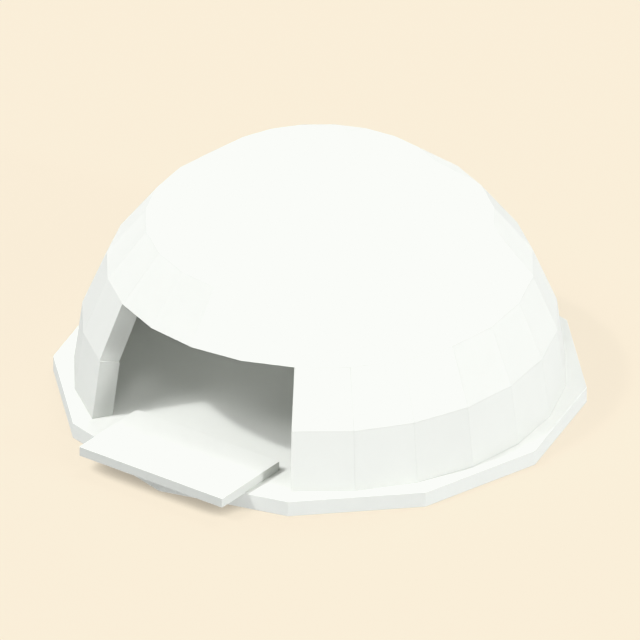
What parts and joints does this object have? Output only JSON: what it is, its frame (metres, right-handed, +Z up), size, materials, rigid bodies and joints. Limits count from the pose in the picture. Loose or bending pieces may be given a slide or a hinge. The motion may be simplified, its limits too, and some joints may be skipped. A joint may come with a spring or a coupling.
{
  "type": "igloo",
  "caption": "Domed snow-block hut on a thin twelve-sided slab, hollow inside, with one wide doorway and a flat door step.",
  "frame": {"origin": "centre of the slab's underside, on the ground under the middle of the dome", "axes": "+Z up, -Y out through the doorway, +X to the right of someone who looks in along +Y"},
  "size_m": [4.34, 4.45, 2.135],
  "materials": {
    "snow_blocks": "packed snow, matte, smoothly cut",
    "base_slab": "trodden snow, matte",
    "door_step": "smoothed snow, matte"
  },
  "bodies": {
    "root": {"base_slab": "base_slab", "door_step": "door_step", "door_lintel": "snow_blocks", "crown": "snow_blocks", "course_1_front_right": "snow_blocks", "course_1_back_right": "snow_blocks", "course_1_back": "snow_blocks", "course_1_back_left": "snow_blocks", "course_1_front_left": "snow_blocks", "course_2_front_right": "snow_blocks", "course_2_back_right": "snow_blocks", "course_2_back": "snow_blocks", "course_2_back_left": "snow_blocks", "course_2_front_left": "snow_blocks", "course_3_front_right": "snow_blocks", "course_3_back_right": "snow_blocks", "course_3_back": "snow_blocks", "course_3_back_left": "snow_blocks", "course_3_front_left": "snow_blocks", "course_4_front": "snow_blocks", "course_4_front_right": "snow_blocks", "course_4_back_right": "snow_blocks", "course_4_back": "snow_blocks", "course_4_back_left": "snow_blocks", "course_4_front_left": "snow_blocks", "course_5_front": "snow_blocks", "course_5_front_right": "snow_blocks", "course_5_back_right": "snow_blocks", "course_5_back": "snow_blocks", "course_5_back_left": "snow_blocks", "course_5_front_left": "snow_blocks"}
  },
  "joints": []
}
